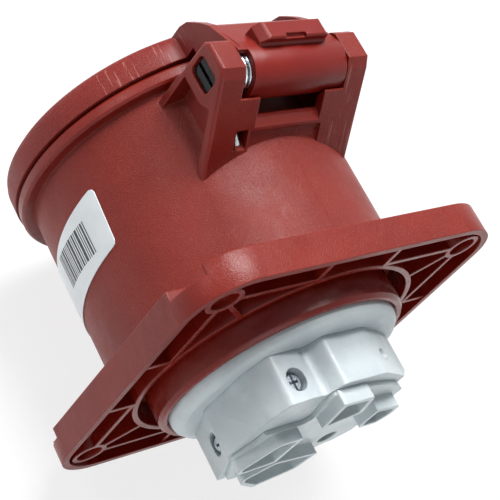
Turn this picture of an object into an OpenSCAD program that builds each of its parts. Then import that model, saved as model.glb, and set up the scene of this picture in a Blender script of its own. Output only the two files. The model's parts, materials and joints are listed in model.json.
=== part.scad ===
// Panel socket outlet, round pin type, three phases with neutral and earth.
// Axes: X to the right seen from the front, Y from the lid towards the back
// of the panel, Z up towards the lid hinge. The origin is on the socket axis
// in the plane where the flange rests on the panel. Millimetres.

/* [Flange] */
// side of the square mounting flange
flange_side = 75; // [60:1:110]
// radius of the flange corners
flange_corner = 12; // [4:1:14]
// depth of the flange from its front face to the panel
flange_depth = 6.35; // [5:0.05:10]
// thickness of the flange front plate
flange_plate = 2.2; // [1.5:0.1:3]
// thickness of the skirt round the flange
skirt_wall = 1.5; // [1.2:0.1:3]
// distance between neighbouring fixing holes
hole_spacing = 60; // [50:0.5:90]
// diameter of the fixing holes
hole_d = 5.5; // [4:0.1:7]
// width of the pocket for the head of a fixing screw
pocket_w = 7.7; // [6.5:0.1:10]
// depth of the pocket for the head of a fixing screw
pocket_depth = 2; // [1:0.1:3]

/* [Barrel] */
// outer diameter of the barrel
barrel_d = 62.8; // [50:0.1:90]
// wall thickness of the barrel
barrel_wall = 2.1; // [1.6:0.1:4]
// distance from the panel to the front edge of the collar
front_reach = 49.8; // [40:0.1:80]
// outer diameter of the collar at the front of the barrel
collar_d = 68; // [54:0.1:96]
// length of the collar along the barrel
collar_len = 2.9; // [2:0.1:8]
// width of the keyway inside the barrel, at six o'clock
keyway_w = 8; // [5:0.5:12]

/* [Contacts] */
// diameter of the circle that the contacts stand on
contact_circle = 30; // [26:0.5:40]
// diameter of a phase or neutral pin that fits the contacts
pin_d = 5; // [4:0.5:8]
// diameter of the earth pin
earth_pin_d = 7; // [5:0.5:10]
// diameter of the contact carrier at its rear disc
carrier_d = 49.6; // [42:0.1:60]
// distance from the collar edge back to the face of the carrier
face_depth = 9.8; // [5:0.1:20]

/* [Terminals] */
// height of the terminal towers behind the panel
tower_reach = 16.3; // [12:0.1:24]
// width of the terminal block of a contact
block_w = 6.4; // [5.6:0.1:7.4]
// distance from the socket axis to the wire holes of the terminals
wire_r = 12.6; // [11:0.1:16]
// diameter of the terminal screws
screw_d = 3.8; // [3:0.1:5]

/* [Lid and hinge] */
// outer diameter of the lid
lid_d = 68.6; // [56:0.1:96]
// thickness of the lid over its rim
lid_depth = 6.1; // [5:0.1:12]
// distance from the panel forward to the hinge axis
hinge_fwd = 40.25; // [30:0.05:60]
// height of the hinge axis above the socket axis
hinge_up = 39.7; // [34:0.1:60]
// diameter of the hinge barrel of the lid
knuckle_d = 10.6; // [8:0.1:14]
// diameter of the hinge pin
hinge_pin_d = 4.2; // [3:0.1:6]
// distance between the outer faces of the two hinge ears
ear_span = 36.5; // [30:0.5:50]
// distance between the inner faces of the two hinge ears
ear_gap = 25.6; // [20:0.1:40]
// wire diameter of the lid spring
wire_d = 1; // [0.6:0.1:1.6]
// angle by which the lid is opened, for a look at the parts
lid_open = 0; // [0:1:100]

/* [Hidden] */
eps = 0.01;
half = flange_side / 2;
pitch = hole_spacing / 2;
barrel_r = barrel_d / 2;
cavity_r = barrel_r - barrel_wall;
collar_r = collar_d / 2;
collar_y = -front_reach;
carrier_r = carrier_d / 2;
seat_clear = 0.15;
tube_in = carrier_r + seat_clear;
tube_out = tube_in + 1.95;
tube_reach = 3.8;
ledge_y = -7;
ledge_r = carrier_r - 0.9;
front_r = ledge_r - 0.2;
floor_y = -9.5;
floor_back = -6.4;
ring_rib_r = barrel_r - 0.6;
rib_t = 1;
rib_y = -0.4;
boss_d = pocket_w - 0.2;
boss_h = flange_depth - pocket_depth;
face_y = collar_y + face_depth;
disc_y = 6.2;
hy = -hinge_fwd;
hz = hinge_up;
knuckle_r = knuckle_d / 2;
lid_r = lid_d / 2;
lid_gap = 0.3;
lid_y = collar_y - lid_gap;
lid_front = lid_y - lid_depth;
lid_in = lid_r - 2.1;
groove_in = cavity_r - 0.9;
groove_y = lid_front + 2.2;
arm_half = ear_gap / 2 - 0.3;
coil_r = hinge_pin_d / 2 + 1.3;
coil_x = arm_half - 4.05;
wall_lean = 0.56;
wall_y0 = -12.08;
ear_round = 0.9;
wall_round = 0.88;
circle_r = contact_circle / 2;
phase_in = pin_d / 2 + 0.05;
phase_out = phase_in + 0.85;
earth_in = earth_pin_d / 2 + 0.05;
earth_out = earth_in + 0.85;
bore_clear = 0.1;
block_y0 = 4;
block_len = tower_reach - block_y0 - 1.2;
block_low = -1.6;
block_high = 5.3;
wire_v = 1.6;
wire_hole_r = 2.1;
screw_y = 11.9;
window_w = screw_d + 0.2;
// distance from the wire hole row to the head of each terminal screw
screw_end = [10.2, 12.4, 12.2, 12.6, 15.6];
screw_travel = 2;
cover_t = 0.9;
rim_y = tower_reach + 3.3;
// outline of the terminal towers, seen from the front, x and z
tower_outline = [[13.9, -17.5], [18.7, -4.4], [19.8, -3.4], [18.8, 9.5],
                 [18.4, 11.8], [16.4, 16.2], [15.6, 16.75], [9.6, 16.9],
                 [8.4, 16.2], [7.0, 16.8], [6.0, 18.2], [4.9, 19.7],
                 [-6.2, 18.8], [-13.6, 14.4], [-19.6, 10.0], [-19.2, 4.4],
                 [-17.7, 3.2], [-19.4, -0.6], [-17.4, -10.0], [-13.6, -13.0],
                 [-10.2, -13.6], [-9.0, -15.2], [-6.6, -19.4], [6.2, -19.4],
                 [8.6, -17.6], [11.0, -17.0]];
// outline of the guide plate behind the towers
guide_outline = [[17.4, -5.5], [19.1, -3.0], [16.7, 3.4], [16.4, 6.2],
                 [9.7, 6.1], [7.1, 5.7], [5.4, 7.2], [7.2, 14.4],
                 [6.6, 17.4], [3.9, 17.9], [-5.4, 15.9], [-10.8, 13.8],
                 [-13.4, 12.4],
                 [-17.6, 8.6], [-17.2, -5.6], [-16.6, -9.4], [-13.2, -12.2],
                 [-9.6, -12.8], [-6.4, -17.6], [5.8, -18.4], [9.0, -16.4],
                 [12.8, -15.8]];
// funnels for the wires and their hollows, x and z
funnel_first = [[8.2, -5.4], [17.6, -5.6], [18.8, -3.2], [15.0, 3.6],
                [13.7, 5.7], [7.8, 5.4]];
hollow_first = [[9.2, -4.5], [17.0, -4.7], [17.6, -3.2], [14.2, 3.2],
                [13.2, 4.8], [8.9, 4.5]];
funnel_second = [[4.9, 7.2], [6.3, 18.0], [-2.2, 17.2], [-4.2, 9.6]];
hollow_second = [[4.0, 8.3], [5.1, 16.9], [-1.3, 16.2], [-2.9, 10.4]];
funnel_third = [[-7.8, 4.0], [-8.0, 9.8], [-15.3, 8.2], [-15.8, 4.6],
                [-13.6, 1.2], [-8.6, 1.6]];
hollow_third = [[-8.8, 4.4], [-8.9, 8.7], [-14.4, 7.4], [-14.8, 4.8],
                [-13.1, 2.2], [-9.3, 2.5]];
funnel_earth = [[-5.4, -8.8], [7.6, -5.8], [13.4, -10.6], [12.2, -13.4],
                [6.2, -18.4], [-3.4, -15.4]];
hollow_earth = [[-4.2, -9.4], [7.2, -6.9], [12.2, -10.9], [11.2, -13.0],
                [5.8, -17.3], [-2.6, -14.6]];

// ---- helpers -------------------------------------------------------------

// turns a profile of radius and Y about the socket axis
module turned() {
  rotate([-90, 0, 0]) rotate_extrude() children();
}

// a flat shape in X and Z made into a plate from y0 to y1
module plate(y0, y1) {
  translate([0, y1, 0]) rotate([90, 0, 0]) linear_extrude(y1 - y0) children();
}

// a side profile in Y and Z made into a solid from x0 to x1
module side(x0, x1) {
  translate([x0, 0, 0]) rotate([90, 0, 90]) linear_extrude(x1 - x0) children();
}

// a round rod along X between x0 and x1 on the hinge axis
module on_hinge(r, x0, x1) {
  translate([x0, hy, hz]) rotate([0, 90, 0]) cylinder(r = r, h = x1 - x0);
}

// a round rod along Y
module rod_y(r, y0, y1, x = 0, z = 0) {
  translate([x, y0, z]) rotate([-90, 0, 0]) cylinder(r = r, h = y1 - y0);
}

// a rectangle with rounded corners
module round_rect(w, h, r) {
  square([w, h - 2 * r], center = true);
  square([w - 2 * r, h], center = true);
  for (x = [r - w / 2, w / 2 - r], z = [r - h / 2, h / 2 - r])
    translate([x, z]) circle(r = r);
}

module round_square(s, r) {
  round_rect(s, s, r);
}

// the corners of outline p eased into curves that begin r before each corner
// or at 0.45 of the side where that is shorter, with n steps to a curve
function eased(p, r, n = 4) = [
  for (i = [0:len(p) - 1])
    let (a = p[(i + len(p) - 1) % len(p)] - p[i], b = p[(i + 1) % len(p)] - p[i],
         u = a * min(r / norm(a), 0.45), v = b * min(r / norm(b), 0.45))
      for (k = [0:n]) let (t = k / n)
        p[i] + (1 - t) * (1 - t) * u + t * t * v];

// puts children at the four fixing holes
module at_holes() {
  for (x = [-pitch, pitch], z = [-pitch, pitch]) translate([x, 0, z]) children();
}

// ---- housing -------------------------------------------------------------

// skirt, plate, bosses and ribs of the flange
module flange_body() {
  plate(-flange_depth, -flange_depth + flange_plate)
    difference() {
      round_square(flange_side, flange_corner);
      circle(r = cavity_r + 0.5);
    }
  plate(-flange_depth + 0.5, 0)
    difference() {
      round_square(flange_side, flange_corner);
      round_square(flange_side - 2 * skirt_wall, flange_corner - skirt_wall);
    }
  at_holes() rod_y(boss_d / 2, -flange_depth + 0.3, rib_y);
  pocket_pads();
  flange_ribs();
}

// floor under each screw pocket, inside the outline of the flange
module pocket_pads() {
  y0 = -flange_depth + pocket_depth;
  plate(y0 - 0.4, y0 + 1.7)
    intersection() {
      round_square(flange_side - 0.6, flange_corner - 0.3);
      for (sx = [-1, 1], z = [-pitch, pitch]) {
        translate([sx * pitch, z]) circle(r = pocket_w / 2 + 1);
        translate([sx * (pitch + half) / 2, z])
          square([half - pitch, pocket_w + 2], center = true);
      }
    }
}

module flange_ribs() {
  y0 = -flange_depth + flange_plate - 0.3;
  h = rib_y - y0;
  plate(y0, rib_y)
    difference() {
      circle(r = ring_rib_r);
      circle(r = ring_rib_r - 1.1);
    }
  stub = 8.5;
  reach = half - skirt_wall / 2;
  z_in = sqrt(ring_rib_r * ring_rib_r - stub * stub) - 0.5;
  for (a = [0, 90, 180, 270]) rotate([0, a, 0]) {
    for (s = [-1, 1]) {
      translate([s * stub - rib_t / 2, y0, z_in]) cube([rib_t, h, reach - z_in]);
      translate([s > 0 ? stub : -pitch + boss_d / 2 - 1.2, y0, pitch - rib_t / 2])
        cube([pitch - boss_d / 2 + 1.2 - stub, h, rib_t]);
    }
    rotate([0, 45, 0])
      translate([-rib_t / 2, y0, ring_rib_r - 0.6])
        cube([rib_t, h, pitch * sqrt(2) - boss_d / 2 + 0.8 - ring_rib_r]);
  }
}

// screw pockets and holes, taken out of the flange
module flange_cuts() {
  at_holes() rod_y(hole_d / 2, -flange_depth - 1, 1);
  for (sx = [-1, 1], z = [-pitch, pitch]) {
    translate([sx * pitch, 0, z])
      rod_y(pocket_w / 2, -flange_depth - 1, -flange_depth + pocket_depth);
    x0 = sx > 0 ? pitch : -half - 1;
    translate([x0, -flange_depth - 1, z - pocket_w / 2])
      cube([half + 1 - pitch, pocket_depth + 1, pocket_w]);
  }
}

// barrel wall, collar, floor ledge and rear tube as one turned shape
module barrel_shell() {
  turned()
    polygon([
      [barrel_r, -flange_depth + 1], [barrel_r, collar_y + collar_len],
      [collar_r - 0.5, collar_y + collar_len], [collar_r, collar_y + collar_len - 0.5],
      [collar_r, collar_y + 0.6], [collar_r - 0.6, collar_y],
      [cavity_r + 0.6, collar_y], [cavity_r, collar_y + 0.8],
      [cavity_r, floor_y], [ledge_r, floor_y], [ledge_r, ledge_y],
      [tube_in, ledge_y], [tube_in, tube_reach - 0.5], [tube_in + 0.5, tube_reach],
      [tube_out - 0.6, tube_reach], [tube_out, tube_reach - 0.8],
      [tube_out, floor_back], [ring_rib_r - 0.6, floor_back],
      [ring_rib_r - 0.6, -flange_depth + 1]]);
}

// the swelling at six o'clock that leaves room for the keyway
module keyway_swelling() {
  translate([0, 0, -barrel_r + 2])
    plate(collar_y + 0.8, -14)
      polygon([[-keyway_w / 2 - 2.6, 0], [-keyway_w / 2 - 1.2, -3.6],
               [keyway_w / 2 + 1.2, -3.6], [keyway_w / 2 + 2.6, 0]]);
}

// line of the leaning rear wall of the hinge bracket
function wall_y(z) = wall_y0 - wall_lean * z;

// side outline of one hinge ear, from its front foot over the top
ear_line = [[hy - 4.7, hz - 4.5], [hy - 4.3, hz + 4.0], [hy - 3.2, hz + 5.1],
            [hy + 2.6, hz + 5.1], [wall_y(hz + 3.3), hz + 3.3],
            [wall_y(hz - 2.2), hz - 2.2], [hy + 3.0, hz - 4.5]];

// takes the sharp outer edge off an ear along the line from a to b
module edge_round(a, b, r) {
  d = b - a;
  len = norm(d);
  bite = r - 0.03;
  translate([ear_span / 2 - bite, a[0], a[1]])
    rotate([atan2(d[1], d[0]), 0, 0]) translate([0, -1, -bite])
      difference() {
        cube([r + 1, len + 2, r + 1]);
        translate([0, -1, 0]) rotate([-90, 0, 0]) cylinder(r = r, h = len + 4);
      }
}

// rounds the outer edges of both ears and of the wall under them
module ear_rounding() {
  low = barrel_r - 6;
  for (m = [0, 1]) mirror([m, 0, 0]) {
    for (i = [0:3]) edge_round(ear_line[i], ear_line[i + 1], ear_round);
    edge_round(ear_line[4], [wall_y(low), low], wall_round);
  }
}

// the two ears, the leaning wall between them and their ribs
module hinge_bracket() {
  low = barrel_r - 9;
  out = ear_span / 2;
  in = ear_gap / 2;
  for (m = [0, 1]) mirror([m, 0, 0]) {
    side(in, out) polygon(ear_line);
    side(in, in + 1.6)
      polygon([[hy - 4.7, low], [hy - 4.4, hz], [wall_y(hz), hz],
               [wall_y(low), low]]);
    side(in, out)
      polygon([[hy - 4.9, low], [hy - 4.7, hz - 3], [hy - 3.3, hz - 3],
               [hy - 3.5, low]]);
  }
  side(-out, out)
    polygon([[wall_y(low) - 2.2, low], [wall_y(hz - 0.3) - 2.2, hz - 0.3],
             [wall_y(hz - 0.3), hz - 0.3], [wall_y(low), low]]);
}

// window in the wall, the relief under it and the slot for the spring leg
module bracket_cuts() {
  side(-8.1, 8.1)
    polygon([[hy - 6, hz - 4.7], [wall_y(hz - 4.7) - 1.2, hz - 4.7],
             [wall_y(hz - 6.1) + 1.2, hz - 6.1], [hy + 12, hz + 2],
             [hy - 6, hz + 2]]);
  side(-8.8, 8.8)
    polygon([[wall_y(hz - 6.1) - 0.6, hz - 6.1], [wall_y(hz - 6.1) + 2, hz - 6.1],
             [wall_y(barrel_r - 6) + 2, barrel_r - 6],
             [wall_y(barrel_r - 6) - 0.6, barrel_r - 6]]);
  translate([coil_x + 0.9, hy - 1, hz - 9.2]) cube([2.9, 16, 3.5]);
  on_hinge(knuckle_r + 0.45, -ear_gap / 2, ear_gap / 2);
  side(-ear_gap / 2, ear_gap / 2)
    polygon([[hy - 12, hz - 0.3], [hy + 12, hz - 0.3], [hy + 12, hz + 12],
             [hy - 12, hz + 12]]);
}

// bores and end recesses of the hinge pin
module pin_cuts() {
  on_hinge(hinge_pin_d / 2 + 0.05, -ear_span, ear_span);
  for (s = [-1, 1]) {
    x0 = s > 0 ? ear_span / 2 - 1.9 : -ear_span / 2 - 1;
    side(x0, x0 + 2.9) translate([hy, hz]) round_rect(6.2, 4.9, 1.3);
  }
}

module housing() {
  color([0.62, 0.13, 0.10])
  difference() {
    union() {
      flange_body();
      difference() {
        union() {
          barrel_shell();
          keyway_swelling();
          difference() {
            hinge_bracket();
            bracket_cuts();
            ear_rounding();
          }
        }
        // whatever of the bracket and swelling reached into the cavity
        rod_y(cavity_r, collar_y - 1, floor_y);
        translate([-keyway_w / 2, collar_y - 1, -cavity_r - 1.8])
          cube([keyway_w, front_reach - 16, 8]);
      }
    }
    flange_cuts();
    pin_cuts();
  }
}

// ---- lid -----------------------------------------------------------------

// turns the lid group about the hinge axis by the opening angle
module opened() {
  translate([0, hy, hz]) rotate([-lid_open, 0, 0]) translate([0, -hy, -hz])
    children();
}

// round cap of the lid with its rim and the ring that holds the gasket
module lid_disc() {
  f = lid_front;
  turned()
    polygon([
      [0, f - 1.2], [14, f - 1], [24, f - 0.5], [lid_r - 2.2, f],
      [lid_r - 1.1, f + 0.3], [lid_r - 0.3, f + 1.0], [lid_r, f + 2.0],
      [lid_r, lid_y], [cavity_r - 1.5, lid_y],
      [cavity_r - 2.3, lid_y - 0.8], [cavity_r - 2.3, f + 1.6], [0, f + 1.6]]);
}

// groove round the inside of the lid that holds the gasket
module gasket_groove() {
  turned()
    polygon([[groove_in, groove_y], [lid_in, groove_y], [lid_in, lid_y + 1],
             [groove_in, lid_y + 1]]);
}

// thumb tab under the lid, at the side away from the hinge
module lid_tab() {
  plate(lid_front + 0.4, lid_front + 3.4)
    polygon([[-9, -lid_r + 1.6], [-6.5, -lid_r - 2.6], [-5, -lid_r - 3.4],
             [5, -lid_r - 3.4], [6.5, -lid_r - 2.6], [9, -lid_r + 1.6]]);
}

// arm from the lid over the collar to the hinge barrel
module lid_arm() {
  for (m = [0, 1]) mirror([m, 0, 0])
    side(arm_half - 1.9, arm_half)
      polygon([[hy - 2, hz + 4.9], [hy - 3.3, hz + 4.4], [hy - 9.9, hz + 1.5],
               [hy - 11.9, hz - 0.2], [hy - 14.6, hz - 3.1],
               [hy - 15.4, hz - 5.4], [lid_front + 0.4, 29],
               [lid_y, 29], [lid_y, collar_r + 0.8], [hy - 2, hz - 4.6]]);
  side(-arm_half + 1, arm_half - 1)
    polygon([[hy - 1.6, hz + 5.05], [hy - 3.2, hz + 4.6], [hy - 9.7, hz + 1.5],
             [hy - 11.0, hz + 0.1], [hy - 12.1, hz - 4.2], [hy - 15, hz - 6.2],
             [lid_front + 0.5, 29], [lid_y, 29], [lid_y, collar_r + 0.8],
             [hy - 2, hz - 4.6]]);
}

// lug on top of the hinge barrel that stops the open lid
module lid_lug() {
  intersection() {
    side(-11, 11)
      polygon([[hy - 5.9, hz + 3.2], [hy - 5.4, hz + 7.2], [hy - 5.0, hz + 7.6],
               [hy - 1.7, hz + 7.6], [hy - 1.4, hz + 7.2], [hy - 1.9, hz + 5.6],
               [hy - 0.9, hz + 4.2], [hy - 1.5, hz + 3.2]]);
    plate(hy - 8, hy + 4)
      polygon([[-8.9, hz + 3.3], [-9.1, hz + 5.7], [-8.2, hz + 7.3],
               [-7.7, hz + 7.6], [5.8, hz + 7.6], [6.3, hz + 7.3],
               [7.3, hz + 5.7], [7.1, hz + 3.3]]);
  }
}

// hook inside the lid that holds a plug in place
module lid_hook() {
  side(-4, 4)
    polygon([[lid_front + 1.2, 20.5], [lid_y + 1.0, 22.6], [lid_y + 1.8, 24.2],
             [lid_y + 1.8, 25.6], [lid_y - 0.6, 25.0], [lid_front + 1.2, 25.4]]);
}

module lid() {
  color([0.62, 0.13, 0.10])
  opened()
    difference() {
      union() {
        lid_disc();
        lid_tab();
        lid_arm();
        lid_lug();
        lid_hook();
        on_hinge(knuckle_r, -arm_half, arm_half);
      }
      gasket_groove();
      on_hinge(hinge_pin_d / 2 + 0.12, -arm_half - 1, arm_half + 1);
      on_hinge(hinge_pin_d / 2 + 2.1, 7.9, arm_half + 1);
      // opening at the left end where the coil shows
      translate([10.3, hy - 1.1, hz - 8]) cube([4, 10, 16]);
      // groove for the spring leg under the arm
      translate([coil_x - 0.8, hy - 7.6, hz - coil_r - 0.9]) cube([1.6, 7.6, 1.9]);
      // notch in the rear edge of the lug
      translate([-2.9, hy - 2.3, hz + 6.8]) cube([5, 2, 2]);
    }
}

// soft ring in the lid that closes on the collar edge
module lid_gasket() {
  color([0.16, 0.16, 0.17])
  opened()
    turned()
      polygon([[groove_in + 0.1, groove_y], [lid_in - 0.1, groove_y],
               [lid_in - 0.1, collar_y - 0.8], [lid_in - 0.9, collar_y - 0.1],
               [groove_in + 1.1, collar_y - 0.1],
               [groove_in + 0.1, collar_y - 1.1]]);
}

// ---- hinge pin and spring -------------------------------------------------

// split plastic pin: a flat head on the right, two snap prongs on the left
module hinge_pin() {
  r = hinge_pin_d / 2;
  end = ear_span / 2;
  color([0.10, 0.11, 0.12])
  difference() {
    union() {
      on_hinge(r, -end + 0.8, end - 1.5);
      for (x0 = [-end + 0.5, end - 1.8])
        side(x0, x0 + 1.2) translate([hy, hz]) round_rect(5.8, 4.5, 1.1);
    }
    translate([end - 9, hy - 4, hz - 0.4]) cube([10, 8, 0.8]);
  }
}

// closed ring of wire about the hinge axis at x
module wire_ring(x, r) {
  translate([x, hy, hz]) rotate([0, 90, 0])
    rotate_extrude() translate([r, 0]) circle(r = wire_d / 2);
}

// straight piece of wire from point a to point b
module wire(a, b) {
  d = b - a;
  len = norm(d);
  translate(a)
    rotate([0, acos(d[2] / len), atan2(d[1], d[0])])
      cylinder(r = wire_d / 2 - 0.03, h = len);
}

// coil round the pin with one leg under the lid arm and one in the bracket
module lid_spring() {
  r = coil_r;
  step = wire_d + 0.06;
  x0 = coil_x;
  turns = 4;
  xl = x0 + (turns - 1) * step;
  tip = [xl, hy + 10.6, hz - 8.0];
  reach = norm([tip[1] - hy, tip[2] - hz]);
  a = atan2(tip[2] - hz, tip[1] - hy) - acos(r / reach);
  color([0.80, 0.81, 0.82]) {
    for (i = [0:turns - 1]) wire_ring(x0 + i * step, r);
    for (i = [0:turns - 2])
      wire([x0 + i * step, hy + 0.2, hz + r], [x0 + (i + 1) * step, hy + 0.2, hz + r]);
    wire([xl, hy + r * cos(a), hz + r * sin(a)], tip);
    wire([x0, hy, hz - r + 0.02], [x0, hy - 6.9, hz - r + 0.02]);
  }
}

// ---- contact carrier ------------------------------------------------------

// puts children at contact i, with Y along the socket axis
module at_contact(i) {
  a = 54 + 72 * i;
  translate([circle_r * cos(a), 0, circle_r * sin(a)]) children();
}

// turns children so that X runs from the socket axis to wire hole i and Z
// runs along the terminal screw towards its window
module at_terminal(i) {
  rotate([0, -72 * (i + 1), 0]) children();
}

function sleeve_out(i) = i == 3 ? earth_out : phase_out;
function sleeve_in(i) = i == 3 ? earth_in : phase_in;

// chamber of terminal i, open at the back, with room for its block
module chamber(i) {
  c = bore_clear;
  at_terminal(i)
    translate([wire_r - block_w / 2 - c, block_y0 - c, block_low - c])
      cube([block_w + 2 * c, tower_reach, block_high - block_low + 2 * c]);
}

// bore of a terminal screw and its travel, with the window that it leads to
module screw_window(i) {
  at_terminal(i) {
    translate([wire_r, screw_y, 0])
      cylinder(r = screw_d / 2 + 0.1, h = screw_end[i] + screw_travel + 0.3);
    if (i == 0) {
      // the second terminal only has a narrow bore for the screwdriver
      translate([wire_r, screw_y, block_high + 1])
        cylinder(r = screw_d / 2 - 0.6, h = 16);
    } else {
      for (y = [screw_y - 0.4, screw_y + 0.4])
        translate([wire_r, y, block_high + 1])
          cylinder(r = window_w / 2, h = 16);
      translate([wire_r - window_w / 2, screw_y - 0.4, block_high + 1])
        cube([window_w, 0.8, 16]);
    }
  }
}

// front body of the carrier with its rear disc and the bores of the contacts
module contact_carrier() {
  color([0.66, 0.70, 0.71])
  difference() {
    turned()
      polygon([
        [0, face_y], [front_r - 0.8, face_y], [front_r, face_y + 0.8],
        [front_r, ledge_y + 0.05], [carrier_r, ledge_y + 0.05],
        [carrier_r, disc_y - 2.2], [carrier_r - 0.3, disc_y - 1.1],
        [carrier_r - 1.1, disc_y - 0.3], [carrier_r - 2.2, disc_y], [0, disc_y]]);
    for (i = [0:4]) {
      at_contact(i) {
        rod_y(sleeve_in(i) + 0.3, face_y - 1, face_y + 4);
        rod_y(sleeve_out(i) + bore_clear, face_y + 2.5, block_y0 + 2.1);
        rod_y(sleeve_out(i) + 0.75, face_y + 4.5, face_y + 8);
      }
      chamber(i);
    }
  }
}

// five towers behind the disc with the chambers and windows of the terminals
module terminal_towers() {
  color([0.66, 0.70, 0.71])
  difference() {
    plate(disc_y, tower_reach) polygon(eased(tower_outline, 0.9));
    // sloping end of the tower on the right
    translate([-15.2, tower_reach, -30]) rotate([0, 0, 28])
      translate([-20, 0, 0]) cube([20, 10, 60]);
    for (i = [0:4]) {
      chamber(i);
      screw_window(i);
    }
  }
}

// funnel i over a flat outline, its rim sloping down by 19 degrees
module funnel(i, outline, v) {
  difference() {
    plate(tower_reach + 0.02, rim_y) polygon(eased(outline, 0.8));
    at_terminal(i) translate([-40, rim_y, v]) rotate([-19, 0, 0])
      cube([80, 20, 40]);
  }
}

// rear guide: four raised funnels and one flat hole lead the wires in
module terminal_cover() {
  y0 = tower_reach + 0.02;
  y1 = y0 + cover_t;
  color([0.74, 0.77, 0.78])
  difference() {
    union() {
      plate(y0, y1) polygon(eased(guide_outline, 0.7));
      funnel(4, funnel_first, -0.8);
      funnel(0, funnel_second, -0.2);
      plate(y0, rim_y + 0.6) polygon(eased(funnel_third, 0.8));
      funnel(3, funnel_earth, -0.5);
    }
    plate(y1, rim_y + 1) polygon(eased(hollow_first, 0.5));
    plate(y1, rim_y + 1) polygon(eased(hollow_second, 0.5));
    plate(y1, rim_y + 1) polygon(eased(hollow_third, 0.5));
    plate(y1, rim_y + 1) polygon(eased(hollow_earth, 0.5));
    for (i = [0:4]) at_terminal(i)
      translate([wire_r, 0, wire_v]) rod_y(wire_hole_r + 0.15, y0 - 1, y0 + 2);
  }
}

// ---- contacts --------------------------------------------------------------

// slotted brass sleeve with its terminal block
module contact(i) {
  y0 = face_y + 2.6;
  color([0.80, 0.65, 0.32])
  difference() {
    union() {
      at_contact(i) rod_y(sleeve_out(i), y0, block_y0 + 2);
      at_terminal(i)
        translate([wire_r - block_w / 2, block_y0, block_low])
          cube([block_w, block_len, block_high - block_low]);
    }
    at_contact(i) {
      rod_y(sleeve_in(i), y0 - 1, y0 + 28);
      for (a = [45, 135]) rotate([0, a, 0])
        translate([-0.3, y0 - 1, -8]) cube([0.6, 15, 16]);
    }
    at_terminal(i) {
      translate([wire_r, 0, wire_v])
        rod_y(wire_hole_r, block_y0 + 2.2, tower_reach + 1);
      translate([wire_r, screw_y, wire_v])
        cylinder(r = screw_d / 2 + 0.02, h = block_high);
    }
  }
}

// steel ring that keeps the slotted end of a contact closed
module contact_ring(i) {
  color([0.72, 0.73, 0.75])
  at_contact(i)
    difference() {
      rod_y(sleeve_out(i) + 0.5, face_y + 5, face_y + 7.4);
      rod_y(sleeve_out(i) + 0.02, face_y + 4, face_y + 9);
    }
}

// terminal screw with a straight slot and a cross
module terminal_screw(i) {
  r = screw_d / 2;
  end = screw_end[i];
  tip = wire_v + 1.2;
  color([0.62, 0.64, 0.66])
  at_terminal(i) translate([wire_r, screw_y, 0])
    difference() {
      union() {
        translate([0, 0, tip + 0.6]) cylinder(r = r, h = end - tip - 1);
        translate([0, 0, end - 0.45]) cylinder(r1 = r, r2 = r - 0.35, h = 0.45);
        translate([0, 0, tip]) cylinder(r = r - 0.6, h = 1);
      }
      translate([-0.28, -r - 1, end - 0.75]) cube([0.56, 2 * r + 2, 2]);
      translate([-1.1, -0.28, end - 1.1]) cube([2.2, 0.56, 2]);
    }
}

// blank label wrapped on the left side of the barrel
module label() {
  color([0.90, 0.91, 0.91])
  intersection() {
    turned()
      translate([barrel_r + 0.03, -45]) square([0.16, 35]);
    side(5, barrel_r + 5)
      polygon([[-36.9, 10.3], [-26.4, 9.7], [-25.7, 9.3], [-25.4, 8.6],
               [-20.2, -26], [-21, -27], [-32.0, -27.4], [-33.2, -26.5],
               [-37.9, 9.4], [-37.6, 10.0]]);
  }
}

housing();
lid();
lid_gasket();
hinge_pin();
lid_spring();
contact_carrier();
terminal_towers();
terminal_cover();
contact(4);  // contact_l1
contact(0);  // contact_l2
contact(1);  // contact_l3
contact(2);  // contact_n
contact(3);  // contact_pe
contact_ring(4);  // ring_l1
contact_ring(0);  // ring_l2
contact_ring(1);  // ring_l3
contact_ring(2);  // ring_n
contact_ring(3);  // ring_pe
terminal_screw(4);  // screw_l1
terminal_screw(0);  // screw_l2
terminal_screw(1);  // screw_l3
terminal_screw(2);  // screw_n
terminal_screw(3);  // screw_pe
label();
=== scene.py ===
# %% [markdown]
# # Panel socket outlet with a sprung lid
#
# A five-pole socket outlet for panel mounting: a square flange and a barrel
# moulded in one piece, a lid that a torsion spring keeps shut, and behind the
# panel a grey carrier with the screw terminals and a pale guide for the wires.
# The rigid parts come from the CAD frame. This scene gives each of them its
# material, rounds the moulded edges, and adds what is awkward to draw in CAD:
# the true coil of the spring, the print on the label and the parting line.

# %% Load the frame
import math

import bpy
import json
import numpy as np
from mathutils import Matrix, Vector


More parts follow.
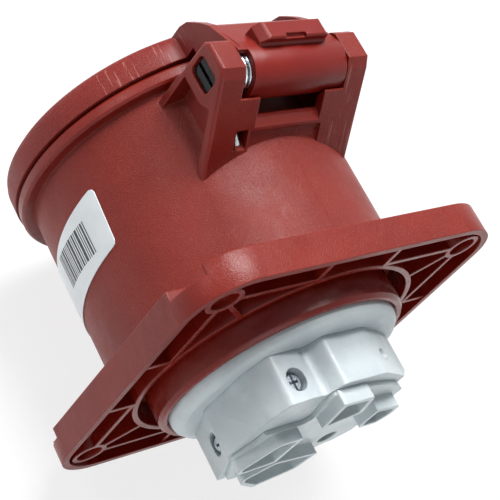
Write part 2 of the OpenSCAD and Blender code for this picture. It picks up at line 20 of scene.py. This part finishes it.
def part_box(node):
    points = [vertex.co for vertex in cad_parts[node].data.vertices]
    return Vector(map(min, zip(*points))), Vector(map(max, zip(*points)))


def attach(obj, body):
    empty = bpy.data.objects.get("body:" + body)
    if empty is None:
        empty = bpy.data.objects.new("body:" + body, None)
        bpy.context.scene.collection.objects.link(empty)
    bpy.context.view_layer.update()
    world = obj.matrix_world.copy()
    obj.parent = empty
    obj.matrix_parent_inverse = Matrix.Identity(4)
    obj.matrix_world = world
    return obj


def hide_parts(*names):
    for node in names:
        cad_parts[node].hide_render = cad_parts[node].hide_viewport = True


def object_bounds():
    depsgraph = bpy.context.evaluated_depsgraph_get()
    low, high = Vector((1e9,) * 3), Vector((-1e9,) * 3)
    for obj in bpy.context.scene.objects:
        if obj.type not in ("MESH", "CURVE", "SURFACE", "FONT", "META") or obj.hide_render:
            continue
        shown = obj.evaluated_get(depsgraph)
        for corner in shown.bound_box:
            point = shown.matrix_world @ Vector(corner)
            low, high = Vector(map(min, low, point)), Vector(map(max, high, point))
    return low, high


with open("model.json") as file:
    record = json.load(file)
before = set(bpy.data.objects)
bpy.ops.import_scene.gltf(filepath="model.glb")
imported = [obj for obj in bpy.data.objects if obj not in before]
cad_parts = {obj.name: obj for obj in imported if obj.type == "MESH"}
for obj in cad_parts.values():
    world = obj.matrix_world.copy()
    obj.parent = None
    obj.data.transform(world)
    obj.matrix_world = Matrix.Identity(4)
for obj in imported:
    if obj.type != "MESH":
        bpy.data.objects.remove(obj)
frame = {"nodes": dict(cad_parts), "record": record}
NODES = frame["nodes"]
MM = 0.001
first_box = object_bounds()
LOW, HIGH = (np.array(corner) for corner in first_box)
hinge = next(j for j in frame["record"]["behaviour"]["joints"]
             if j["name"] == "lid_hinge")["pos_m"]
HINGE_Y, HINGE_Z = hinge[1], hinge[2]
# the label's outer face is its largest X. It stands 0.19 mm off the barrel, a gap
# of 0.03 mm and 0.16 mm of film
LABEL_LIFT = 0.19 * MM
LABEL_R = np.array(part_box("label")[1])[0]
BARREL_R = LABEL_R - LABEL_LIFT
print("frame of", len(NODES), "nodes,", np.round((HIGH - LOW) / MM, 2), "mm overall")

# %% [markdown]
# ## Helpers
#
# Hex colours are written as seen on a screen and turned to linear light once.
# A material is a small net of nodes. One helper, `add`, puts in any node with
# its settings and links and gives back an output, so that nets are written as
# nested calls.


# %% Colour and node helpers
def linear(hex_colour):
    """An sRGB hex colour as linear RGBA: c/12.92 up to 0.04045, else
    ((c+0.055)/1.055)^2.4."""
    channels = [int(hex_colour[i:i + 2], 16) / 255 for i in (0, 2, 4)]
    return tuple(c / 12.92 if c <= 0.04045 else ((c + 0.055) / 1.055) ** 2.4
                 for c in channels) + (1.0,)


def new_material(name):
    """An empty material that uses nodes."""
    material = bpy.data.materials.new(name)
    material.use_nodes = True
    material.node_tree.nodes.clear()
    return material


def add(m, kind, out=0, **given):
    """Adds a shader node and gives one of its outputs, if it has any. A lower-case word
    is a setting of the node. i0, i1 or a capitalised name, _ for a space, is an input:
    a value or another node's output."""
    node = m.node_tree.nodes.new("ShaderNode" + kind)
    for key, value in given.items():
        if key[0].islower() and not key[1:].isdigit():
            setattr(node, key, value)
            continue
        name = int(key[1:]) if key[1:].isdigit() else key.replace("_", " ")
        socket = node.inputs[name]
        if isinstance(value, bpy.types.NodeSocket):
            m.node_tree.links.new(value, socket)
        else:
            socket.default_value = value
    return node.outputs[out] if node.outputs else None


def finish(m, surface):
    """Sends a shader to the material's output and gives the material back."""
    add(m, "OutputMaterial", Surface=surface)
    return m


# %% [markdown]
# ## Patterns shared by the materials
#
# `lumps` is noise of a real size in millimetres: grain, clouds and scratches all
# come from it. `inside_box` says where on a piece something lies, `rounded`
# softens the shading over sharp edges, and `tint` lays one colour over another.
# All of them read the object's own coordinates, so a pattern stays on its piece
# when the piece moves.


# %% Patterns
def lumps(m, size_mm, low=0.35, high=0.65, to=(0, 1), detail=2, stretch=(1, 1, 1)):
    """Noise with lumps of about size_mm, longer along an axis whose stretch is below 1.
    It rises smoothly from to[0] where the noise is under low to to[1] where it is over
    high."""
    where = add(m, "Mapping", Vector=add(m, "TexCoord", "Object"), Scale=stretch)
    noise = add(m, "TexNoise", Vector=where, Scale=1000 / size_mm, Detail=detail)
    return add(m, "MapRange", interpolation_type="SMOOTHSTEP", Value=noise,
               From_Min=low, From_Max=high, To_Min=to[0], To_Max=to[1])


def inside_box(m, low, high, soft_mm=0.5):
    """1 inside a box given by two corners in millimetres, falling to 0 within soft_mm
    of it: the smallest of the distances to its six faces, over soft_mm."""
    centre = [(a + b) / 2 * MM for a, b in zip(low, high)]
    half = [(b - a) / 2 * MM for a, b in zip(low, high)]
    away = add(m, "VectorMath", operation="SUBTRACT",
               i0=add(m, "TexCoord", "Object"), i1=centre)
    away = add(m, "VectorMath", operation="ABSOLUTE", i0=away)
    depth = add(m, "SeparateXYZ", Vector=add(m, "VectorMath", operation="SUBTRACT",
                                             i0=half, i1=away)).node.outputs
    least = add(m, "Math", operation="MINIMUM", i0=depth[0], i1=depth[1])
    least = add(m, "Math", operation="MINIMUM", i0=least, i1=depth[2])
    return add(m, "MapRange", Value=least, From_Min=0, From_Max=soft_mm * MM)


def rounded(m, radius_mm):
    """(normal turned smoothly over edges as if they had this radius, 1 where it
    turns)"""
    turned = add(m, "Bevel", samples=6, Radius=radius_mm * MM)
    along = add(m, "VectorMath", "Value", operation="DOT_PRODUCT", i0=turned,
                i1=add(m, "NewGeometry", "Normal"))
    return turned, add(m, "MapRange", Value=along, From_Min=0.98, From_Max=0.8)


def tint(m, mask, share, under, over):
    """Colour under, with colour over laid on it by share where mask is 1."""
    part = add(m, "Math", operation="MULTIPLY", i0=mask, i1=share)
    return add(m, "Mix", 2, data_type="RGBA", i0=part, i6=under, i7=over)


def paint(material, *names):
    """Puts a material in every slot of the named CAD nodes."""
    for name in names:
        piece = NODES[name]
        if not piece.material_slots:
            piece.data.materials.append(material)
        for slot in piece.material_slots:
            slot.material = material


# %% [markdown]
# ## Camera
#
# The camera stands behind the panel, above and to the right, and leans over by
# 41 degrees, which lays the barrel across the picture. Its angles, distance and
# lens are written out, and its aim is a point on the middle plane of the frame.


# %% Camera
def aim_camera(azimuth, elevation, roll, distance, aim, lens):
    """Places the camera at distance from aim. Right and up are turned by roll about the
    view."""
    a, e, r = (math.radians(v) for v in (azimuth, elevation, roll))
    back = Vector((math.sin(a) * math.cos(e), -math.cos(a) * math.cos(e), math.sin(e)))
    level = Vector((-back.y, back.x, 0)).normalized()
    upright = back.cross(level)
    right = level * math.cos(r) + upright * math.sin(r)
    data = bpy.data.cameras.new("camera")
    data.lens, data.sensor_width = lens, 36
    data.clip_start, data.clip_end = 0.01, 10
    camera = bpy.data.objects.new("camera", data)
    axes = Matrix((right, back.cross(right), back)).transposed()
    camera.matrix_world = Matrix.Translation(aim + back * distance) @ axes.to_4x4()
    bpy.context.scene.collection.objects.link(camera)
    bpy.context.scene.camera = camera
    place = camera.matrix_world.translation
    print("camera at", [round(v / MM, 1) for v in place], "mm")


middle = Vector((LOW + HIGH) / 2)
aim = Vector((middle.x, -19.52 * MM, 8.0 * MM))
aim_camera(azimuth=118.21, elevation=44.77, roll=41.12, distance=264.8 * MM, aim=aim,
           lens=95.69)

# %% [markdown]
# ## Floor, world and lamps
#
# The floor is a large pale sheet. Both floor and sky are white to the camera, to
# mirrors and to glass, and plain and dim to everything else, so that the light
# on the object comes from the lamps and the floor still takes the shadow. One
# large soft box hangs over the object, a smaller one lights its right side, and
# a weak one keeps the far side from going black.

# %% Floor, world and lamps
WHITE = (1, 1, 1, 1)
SHADOW_SHARE = 0.22    # of the floor's look that takes light and shadow
FLOOR_HALF = 3.0       # metres from the middle of the floor to its edge
FLOOR_DROP = 6 * MM    # from the object's lowest point down to the floor


def seeing_rays(m):
    """1 on rays that see the surroundings: camera, glossy and transmission rays."""
    rays = add(m, "LightPath").node.outputs
    seen = add(m, "Math", operation="MAXIMUM", i0=rays["Is Glossy Ray"],
               i1=rays["Is Transmission Ray"])
    return add(m, "Math", operation="MAXIMUM", i0=seen, i1=rays["Is Camera Ray"])


def make_floor():
    """A square sheet just under the object: fine paper with a slight mottle. A share of
    it takes light and shadow, and to camera, glossy and transmission rays the rest is
    white."""
    half, z = FLOOR_HALF, LOW[2] - FLOOR_DROP
    mesh = bpy.data.meshes.new("floor")
    mesh.from_pydata([(-half, -half, z), (half, -half, z), (half, half, z),
                      (-half, half, z)], [], [(0, 1, 2, 3)])
    floor = bpy.data.objects.new("floor", mesh)
    bpy.context.scene.collection.objects.link(floor)
    m = new_material("floor_paper")
    tone = tint(m, lumps(m, 30, detail=3), 1, linear("F4F4F4"), linear("F7F7F7"))
    paper = add(m, "BsdfPrincipled", Base_Color=tone, Roughness=0.9)
    share = add(m, "Math", operation="MULTIPLY", i0=seeing_rays(m), i1=1 - SHADOW_SHARE)
    white = add(m, "Emission", Color=WHITE, Strength=1.0)
    mesh.materials.append(finish(m, add(m, "MixShader", i0=share, i1=paper, i2=white)))


def make_world(strength):
    """A dim even sky that the camera, metal and glass see as white."""
    world = bpy.data.worlds.new("studio")
    bpy.context.scene.world = world
    world.use_nodes = True
    world.node_tree.nodes.clear()
    sky = add(world, "Background", Color=(0.95, 0.97, 1, 1), Strength=strength)
    white = add(world, "Background", Color=WHITE, Strength=1.0)
    mix = add(world, "MixShader", i0=seeing_rays(world), i1=sky, i2=white)
    add(world, "OutputWorld", Surface=mix)


def lamp(name, direction, distance, size, power, colour=(1, 1, 1)):
    """A square soft box that faces the middle of the object from a direction."""
    data = bpy.data.lights.new(name, "AREA")
    data.shape, data.size, data.energy, data.color = "SQUARE", size, power, colour
    light = bpy.data.objects.new(name, data)
    light.location = middle + Vector(direction).normalized() * distance
    light.rotation_euler = (middle - light.location).to_track_quat("-Z", "Y").to_euler()
    bpy.context.scene.collection.objects.link(light)
    print("lamp", name, power, "W at", [round(v, 2) for v in light.location], "m")


make_floor()
make_world(strength=0.22)
lamp("key_above", (-0.08, -0.36, 0.92), distance=0.70, size=0.32, power=8.2)
lamp("side_right", (0.72, -0.43, 0.56), distance=0.75, size=0.22, power=1.2)
lamp("fill_behind", (0.25, 0.90, 0.25), distance=0.80, size=0.50, power=1.4)

bpy.context.scene.view_settings.view_transform = "Standard"

# %% [markdown]
# ## Rounded moulded edges
#
# No moulded edge is truly sharp. Two modifiers round the CAD nodes without
# touching their own points: Weld joins the separate faces of the frame's mesh
# and Bevel then rounds every edge sharper than 35 degrees. The width is held
# down by the shortest edge nearby, so the materials round the shading a little
# further with a Bevel node.


# %% Round the edges
SHARP_DEGREES = 35     # edges that turn more than this are rounded
SAME_POINT = 0.001 * MM


def round_edges(width_mm, *names):
    """Weld and Bevel modifiers on CAD nodes."""
    for name in names:
        piece = NODES[name]
        weld = piece.modifiers.new("weld", "WELD")
        weld.merge_threshold = SAME_POINT
        bevel = piece.modifiers.new("round_edges", "BEVEL")
        bevel.width = width_mm * MM
        bevel.segments = 2
        bevel.limit_method = "ANGLE"
        bevel.angle_limit = math.radians(SHARP_DEGREES)
        bevel.miter_outer = "MITER_ARC"


MOULDED = ("housing", "lid", "contact_carrier", "terminal_towers", "terminal_cover")
round_edges(0.35, *MOULDED)
print("edges rounded by modifiers on", len(MOULDED), "nodes")

# %% [markdown]
# ## Red glass-filled polyamide
#
# Housing and lid are injection moulded in red polyamide with glass fibre. The
# outside of the housing has a spark-eroded mould texture, a fine sand-like
# grain that breaks the lamps' reflection into glints and a broad pale sheen;
# the grain's peaks also carry painted glints in their colour.
# The faces inside the flange come from polished steel, deep red and glossy.
# Where the plastic flowed fast or was rubbed, it has pale streaks.


# %% Where the housing is textured and streaked
FLANGE_HALF, FLANGE_CORNER = HIGH[0], 12 * MM


def textured(m):
    """1 on the barrel, 0.4 elsewhere outside and 0 inside the flange and on the rear
    tube. A point is inside when it is over 1.4 mm within the flange's rounded square
    and behind its front: |(|x| - c, |z| - c)| is under the corner radius less 1.4 mm, c
    the corner's centre. It is on the barrel when its distance from the socket's axis is
    under 33 mm."""
    c = FLANGE_HALF - FLANGE_CORNER
    point = add(m, "TexCoord", "Object")
    here = add(m, "VectorMath", operation="ABSOLUTE", i0=point)
    here = add(m, "VectorMath", operation="SUBTRACT", i0=here, i1=(c, 0, c))
    here = add(m, "VectorMath", operation="MAXIMUM", i0=here, i1=(0, 0, 0))
    here = add(m, "VectorMath", operation="MULTIPLY", i0=here, i1=(1, 0, 1))
    corner = add(m, "VectorMath", "Value", operation="LENGTH", i0=here)
    beyond = add(m, "MapRange", Value=corner, From_Min=FLANGE_CORNER - 1.5 * MM,
                 From_Max=FLANGE_CORNER - 1.3 * MM)
    y = add(m, "SeparateXYZ", 1, Vector=point)
    front = add(m, "MapRange", Value=y, From_Min=-4.9 * MM, From_Max=-5.1 * MM)
    outside = add(m, "Math", operation="MAXIMUM", i0=beyond, i1=front)
    across = add(m, "VectorMath", operation="MULTIPLY", i0=point, i1=(1, 0, 1))
    radius = add(m, "VectorMath", "Value", operation="LENGTH", i0=across)
    barrel = add(m, "MapRange", Value=radius, From_Min=33.2 * MM, From_Max=31.8 * MM,
                 To_Min=0.4, To_Max=1)
    return add(m, "Math", operation="MULTIPLY", i0=outside, i1=barrel)


# %% [markdown]
# ## The red polyamide itself
#
# One function makes both reds. The colour drifts slowly between a deep and a
# lighter red, the grain's peaks are a little paler as painted glints, the edges
# are a little paler as a painted highlight, and the streaks lie on top. Where
# the mould was textured the surface is also rougher, and two bumps follow: the
# slow waves of a moulded wall and the fine grain.

# %% Red polyamide
GRAIN_MM = 0.2         # width of the mould's grain
POLYAMIDE_IOR = 1.53


def red_polyamide(name, deep, light, grainy, rough, grain_rough, streak_mm, streaks):
    """Polyamide PA6 with glass fibre, IOR 1.53. grainy gives the textured share,
    streak_mm how long and wide the streaks are along X, Y and Z, and streaks where they
    lie."""
    m = new_material(name)
    grain_share, streak_share = grainy(m), streaks(m)
    normal, edge = rounded(m, 0.35)
    tone = tint(m, lumps(m, 14, 0.32, 0.68, detail=3), 0.5, linear(deep), linear(light))
    grain = lumps(m, GRAIN_MM, 0.38, 0.66, detail=0)
    grain_peaks_and_glints = add(m, "Math", operation="MULTIPLY", i0=grain, i1=grain_share)
    # the grain's peaks tinted a little paler: painted glints
    tone = tint(m, grain_peaks_and_glints, 0.06, tone, linear("C08070"))
    # the rounded edges tinted paler: a painted highlight along the edges
    tone = tint(m, edge, 0.30, tone, linear("B84E38"))
    lines = lumps(m, 1.0, 0.58, 0.70, detail=2,
                  stretch=[1 / length for length in streak_mm])
    lines = add(m, "Math", operation="MULTIPLY", i0=lines, i1=streak_share)
    tone = tint(m, lines, 0.35, tone, linear("C58A82"))
    matt = add(m, "MapRange", Value=grain_share, To_Min=rough, To_Max=grain_rough)
    matt = add(m, "Math", operation="ADD", i0=matt,
               i1=lumps(m, 6, to=(-0.03, 0.04)))
    normal = add(m, "Bump", Height=lumps(m, 9), Distance=0.08 * MM, Normal=normal)
    normal = add(m, "Bump", Height=grain_peaks_and_glints, Distance=0.045 * MM, Normal=normal)
    return finish(m, add(m, "BsdfPrincipled", Base_Color=tone, Roughness=matt,
                         IOR=POLYAMIDE_IOR, Specular_IOR_Level=0.25, Normal=normal))


def lid_grain(m):
    """A light grain on the lid away from the polished hinge barrel."""
    return inside_box(m, (-40, -60, -40), (40, -30, 31), 3)


def ear_streaks(m):
    """Pale flow streaks on the bracket's ear on the side of -X."""
    return inside_box(m, (-19, -37, 26), (-9, -20, 44), 1.5)


def rim_streaks(m):
    """Rubbed marks across the lid's rim, on the side of +X near the arm."""
    return inside_box(m, (11, -55.4, 20), (27, -48, 36), 1)


paint(red_polyamide("housing_polyamide_red", deep="6C1208", light="7C1C0F",
                    grainy=textured, rough=0.26, grain_rough=0.44,
                    streak_mm=(0.5, 30, 12), streaks=ear_streaks), "housing")
paint(red_polyamide("lid_polyamide_red", deep="6C120C", light="781A11",
                    grainy=lid_grain, rough=0.38, grain_rough=0.50,
                    streak_mm=(0.5, 6, 0.5), streaks=rim_streaks), "lid")

# %% [markdown]
# ## Grey carrier and pale wire guide
#
# The carrier, its towers and the guide are thermoplastic polyester, which
# stands the heat of the contacts. It is opaque, slightly waxy and faintly blue.


# %% Grey polyester
def grey_polyester(name, shade, bright, rough):
    """PBT polyester, IOR 1.55, with faint clouds, a waxy surface and soft edges."""
    m = new_material(name)
    normal, edge = rounded(m, 0.4)
    tone = tint(m, lumps(m, 7, detail=3), 1, linear(shade), linear(bright))
    # the rounded edges tinted paler: a painted highlight along the edges
    tone = tint(m, edge, 0.12, tone, linear("DCE3E5"))
    normal = add(m, "Bump", Height=lumps(m, 0.5), Distance=0.012 * MM, Normal=normal)
    normal = add(m, "Bump", Height=lumps(m, 5), Distance=0.05 * MM, Normal=normal)
    return finish(m, add(m, "BsdfPrincipled", Base_Color=tone, IOR=1.55, Normal=normal,
                         Roughness=lumps(m, 3, to=(rough - 0.04, rough + 0.05)),
                         Subsurface_Weight=0.05, Subsurface_Scale=0.6 * MM))


paint(grey_polyester("carrier_polyester_grey", shade="AEB8BC", bright="B8C2C5",
                     rough=0.42), "contact_carrier", "terminal_towers")
paint(grey_polyester("guide_polyester_pale", shade="B4BEC1", bright="BEC8CB",
                     rough=0.40), "terminal_cover")

# %% [markdown]
# ## Metals
#
# Contacts are turned and milled brass, their rings blued spring steel, and the
# screws bright zinc-plated steel with a bluish cast and fine turning marks. One
# function makes them all, since they differ in colour and in how fine the marks
# of the tool are.


# %% Metals
def metal(name, colour, tarnish, rough, marks_mm):
    """A bare or plated metal with tool marks marks_mm wide and patches of tarnish."""
    m = new_material(name)
    patches = lumps(m, 2.5, 0.45, 0.7, detail=3)
    tone = tint(m, patches, 1, linear(colour), linear(tarnish))
    return finish(m, add(m, "BsdfPrincipled", Base_Color=tone, Metallic=1.0,
                         Roughness=lumps(m, marks_mm, to=(rough - 0.06, rough + 0.08)),
                         Normal=add(m, "Bump", Height=lumps(m, marks_mm),
                                    Distance=0.005 * MM)))


CONTACTS = ["contact_" + n for n in ("l1", "l2", "l3", "n", "pe")]
RINGS = [n.replace("contact", "ring") for n in CONTACTS]
SCREWS = [n.replace("contact", "screw") for n in CONTACTS]
paint(metal("contact_brass", "C9A24E", "A8823C", rough=0.30, marks_mm=0.25), *CONTACTS)
paint(metal("ring_spring_steel", "6F757C", "5A6066", rough=0.35, marks_mm=0.25), *RINGS)
paint(metal("screw_zinc_plated", "A7AEB5", "858C93", rough=0.28, marks_mm=0.2), *SCREWS)

# %% [markdown]
# ## Pin, gasket and label
#
# The pin is black polyamide with pale scuffs and with the edges of its ends
# tinted paler as a painted highlight, the gasket nitrile rubber with a dusty
# bloom, and the label a white film with a satin face. Each is different enough
# to have a function of its own.


# %% Pin, gasket and label
def pin_polyamide():
    """Black polyamide, IOR 1.53, glossy, with pale scuffs, and the edges on its
    end tinted paler as a painted highlight.
    """
    m = new_material("pin_polyamide_black")
    normal, edge = rounded(m, 0.2)
    scuff = lumps(m, 0.8, 0.54, 0.66, detail=5)
    tone = tint(m, scuff, 0.22, linear("07090C"), linear("48525B"))
    # the rounded edges tinted paler: a painted highlight along the edges
    tone = tint(m, edge, 0.25, tone, linear("4A525A"))
    rough = add(m, "MapRange", Value=scuff, To_Min=0.24, To_Max=0.5)
    normal = add(m, "Bump", Height=lumps(m, 1.2), Distance=0.03 * MM, Normal=normal)
    return finish(m, add(m, "BsdfPrincipled", Base_Color=tone, Roughness=rough,
                         IOR=POLYAMIDE_IOR, Specular_IOR_Level=0.18, Normal=normal))


def gasket_rubber():
    """Nitrile rubber, IOR 1.52, dark and matt with a dusty bloom."""
    m = new_material("gasket_nitrile_rubber")
    tone = tint(m, lumps(m, 3, 0.45, 0.75, detail=4), 0.4, linear("1D1E20"),
                linear("3A3B3D"))
    return finish(m, add(m, "BsdfPrincipled", Base_Color=tone, Roughness=0.75, IOR=1.52,
                         Normal=add(m, "Bump", Height=lumps(m, 0.4),
                                    Distance=0.02 * MM)))


def label_film():
    """White polyester film, IOR 1.6: even, satin, with a slight ripple from the
    glue."""
    m = new_material("label_polyester_film")
    tone = tint(m, lumps(m, 6, detail=3), 1, linear("C3C9CC"), linear("CCD1D4"))
    return finish(m, add(m, "BsdfPrincipled", Base_Color=tone, Roughness=0.4, IOR=1.6,
                         Normal=add(m, "Bump", Height=lumps(m, 4), Distance=0.02 * MM)))


paint(pin_polyamide(), "hinge_pin")
paint(gasket_rubber(), "lid_gasket")
paint(label_film(), "label")
print("materials:", len(bpy.data.materials))

# %% [markdown]
# ## Surfaces from arrays
#
# New pieces are grids of points worked out as whole arrays. `surface` makes the
# mesh: rows run along the piece, columns round it. It closes the grid, covers
# the ends and turns the faces outwards where the enclosed volume says so.


# %% Mesh helper
def surface(name, points, material, round_columns=True, smooth=True):
    """A mesh from points[row, column]: quads between neighbours, columns joined into a
    loop, and one polygon over each end."""
    rows, columns = points.shape[:2]
    index = np.arange(rows * columns).reshape(rows, columns)
    after = np.roll(index, -1, axis=1)
    quads = np.stack([index[:-1], index[1:], after[1:], after[:-1]], axis=-1)
    ends = [index[0].tolist(), index[-1][::-1].tolist()]
    faces = quads.reshape(-1, 4).tolist() + ends
    flat = points.reshape(-1, 3)
    a, b, c, d = flat[quads.reshape(-1, 4)].transpose(1, 0, 2)
    volume = np.sum(a * (np.cross(b, c) + np.cross(c, d)))
    if volume < 0:
        faces = [face[::-1] for face in faces]
    mesh = bpy.data.meshes.new(name)
    mesh.from_pydata(flat.tolist(), [], faces)
    mesh.polygons.foreach_set("use_smooth", [smooth] * len(faces))
    mesh.materials.append(material)
    piece = bpy.data.objects.new(name, mesh)
    bpy.context.scene.collection.objects.link(piece)
    print(name, len(mesh.vertices), "points,", len(mesh.polygons), "faces")
    return piece


# %% [markdown]
# ## Lid spring
#
# The spring that shuts the lid is one steel wire: a leg that lies under the lid
# arm, three turns round the pin, and a leg that ends in the slot of the
# bracket. CAD keeps it as rings and straight legs. Here it is a true helix. The
# front leg is a piece of its own on the lid, so it opens with it, and it leaves
# the first turn along its tangent at any angle.

# %% Lid spring
WIRE_R = 0.5 * MM
CAP_ROWS = 5           # rows of points on each rounded end of the wire
COIL_POINTS = 150
spring_low, spring_high = (np.array(corner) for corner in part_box("lid_spring"))
COIL_R = spring_high[2] - WIRE_R - HINGE_Z
COIL_X0, COIL_X1 = spring_low[0] + WIRE_R, spring_high[0] - WIRE_R


def wire(path, radius, sides=20):
    """A round wire: path + r (cos u N + sin u B). N is the X axis made square to the
    path and B is the tangent cross N. r falls to a point over half a sphere at both
    ends."""
    tangent = np.gradient(path, axis=0)
    tangent /= np.linalg.norm(tangent, axis=1, keepdims=True)
    cap = np.linspace(0, np.pi / 2, CAP_ROWS + 1)[1:][::-1, None]
    start = path[0] - radius * np.sin(cap) * tangent[0]
    end = path[-1] + radius * np.sin(cap[::-1]) * tangent[-1]
    shrink = np.maximum(np.cos(cap), 0.02)
    line = np.vstack([start, path, end])
    tangent = np.vstack([np.repeat(tangent[:1], CAP_ROWS, 0), tangent,
                         np.repeat(tangent[-1:], CAP_ROWS, 0)])
    size = radius * np.vstack([shrink, np.ones((len(path), 1)), shrink[::-1]])
    side = np.array([1.0, 0, 0]) - tangent * tangent[:, :1]
    side /= np.linalg.norm(side, axis=1, keepdims=True)
    other = np.cross(tangent, side)
    u = np.linspace(0, 2 * np.pi, sides, endpoint=False)[None, :, None]
    return line[:, None] + size[:, None] * (np.cos(u) * side[:, None]
                                            + np.sin(u) * other[:, None])


def coil_points(angles, x):
    """Points on the coil: hinge axis + R (cos a, sin a) in Y and Z, at x along the
    axis."""
    return np.stack([x, HINGE_Y + COIL_R * np.cos(angles),
                     HINGE_Z + COIL_R * np.sin(angles)], axis=-1)


def spring_coil():
    """Three turns from straight under the axis to where the rear leg leaves along its
    tangent."""
    tip = np.array([COIL_X1, spring_high[1] - 0.35 * MM, spring_low[2] + 0.4 * MM])
    reach = np.hypot(tip[1] - HINGE_Y, tip[2] - HINGE_Z)
    leave = np.arctan2(tip[2] - HINGE_Z, tip[1] - HINGE_Y) - np.arccos(COIL_R / reach)
    angles = np.linspace(-np.pi / 2, leave + 6 * np.pi, COIL_POINTS)
    turns = coil_points(angles, np.linspace(COIL_X0, COIL_X1, COIL_POINTS))
    leg = turns[-1] + np.linspace(0, 1, 13)[1:, None] * (tip - turns[-1])
    return np.vstack([turns, leg])


def spring_front_leg():
    """A straight wire forward from the lowest point of the first turn."""
    start = coil_points(np.array([-np.pi / 2]), np.array([COIL_X0]))[0]
    forward = np.array([0, -(HINGE_Y - spring_low[1]), 0])
    return start + np.linspace(0, 1, 12)[:, None] * forward


spring_steel = metal("spring_steel_wire", "B9BEC3", "8F959B", 0.22, 0.3)
coil = surface("lid_spring_coil", wire(spring_coil(), WIRE_R), spring_steel)
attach(coil, "base")
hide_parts("lid_spring")
front_leg = surface("lid_spring_leg", wire(spring_front_leg(), WIRE_R), spring_steel)
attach(front_leg, "lid")

# %% [markdown]
# ## Print on the label
#
# The label carries no words. A block of plain bars along the barrel gives the
# look of a printed sticker. Each bar is a thin curved tile on the film: a small
# rectangle in radius and length, swept round the socket axis.


# %% Label print
BAR_UNIT = 0.27 * MM   # width of the narrowest bar
BAR_GAP = 0.36 * MM
BAR_THICK = 0.015 * MM
BAR_ENDS = (-34.2 * MM, -27.2 * MM)
BARS_TOP = 4.6 * MM    # how far round the barrel the first bar starts


def tile(y0, y1, angle0, angle1, thick):
    """A curved tile: four corners in length and radius, swept from angle0 to angle1."""
    angles = np.linspace(angle0, angle1, 5)[:, None]
    y = np.array([[y0, y1, y1, y0]])
    r = LABEL_R + np.array([[0.0, 0.0, thick, thick]])
    return np.stack([r * np.cos(angles), y + 0 * angles, r * np.sin(angles)], axis=-1)


def print_ink():
    """Black thermal print, IOR 1.5, matt, slightly patchy."""
    m = new_material("label_print_ink")
    tone = tint(m, lumps(m, 0.6, 0.35, 0.7, detail=3), 1, linear("26282B"),
                linear("3C3F43"))
    return finish(m, add(m, "BsdfPrincipled", Base_Color=tone, Roughness=0.55, IOR=1.5))


def print_bars():
    """Bars of three widths with even gaps, on the part of the label nearest the
    hinge."""
    widths = np.array([1, 2, 1, 1, 3, 1, 2, 1, 3, 2, 1, 1, 2, 3, 1, 2, 1, 1]) * BAR_UNIT
    starts = np.cumsum(np.r_[0, widths[:-1] + BAR_GAP])
    return [tile(*BAR_ENDS, (BARS_TOP - s - w) / LABEL_R, (BARS_TOP - s) / LABEL_R,
                 BAR_THICK) for s, w in zip(starts, widths)]


ink = print_ink()
for number, bar in enumerate(print_bars()):
    piece = surface("label_bar_%02d" % number, bar, ink, smooth=False)
    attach(piece, "base")

# %% [markdown]
# ## Parting line
#
# The two slides of the mould meet along the top of the barrel and leave a line
# of flash there, a ridge less than a tenth of a millimetre high.


# %% Parting line
RIDGE_ROWS = 24
RIDGE_ENDS = (-26.5 * MM, -6.2 * MM)
RIDGE_ASIDE = 0.3 * MM    # from the barrel's middle plane


def parting_ridge():
    """A low ridge on the barrel, carried along Y: 0.3 mm wide, up to 0.07 mm high and
    highest in its middle, with its feet 0.05 mm and its underside 0.12 mm deep."""
    y = np.linspace(*RIDGE_ENDS, RIDGE_ROWS)[:, None]
    x = np.array([[-0.15, 0.0, 0.15, 0.0]]) * MM - RIDGE_ASIDE
    fade = np.sin(np.linspace(0.08, np.pi - 0.6, RIDGE_ROWS))[:, None]
    foot = np.array([[-0.05, 0.0, -0.05, -0.12]]) * MM
    crest = np.array([[0, 0.07, 0, 0]]) * MM * fade
    z = np.sqrt(BARREL_R ** 2 - x ** 2) + foot + crest
    return np.stack([x + 0 * y, y + 0 * x, z], axis=-1)


housing_red = NODES["housing"].material_slots[0].material
ridge = surface("parting_line", parting_ridge(), housing_red)
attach(ridge, "base")
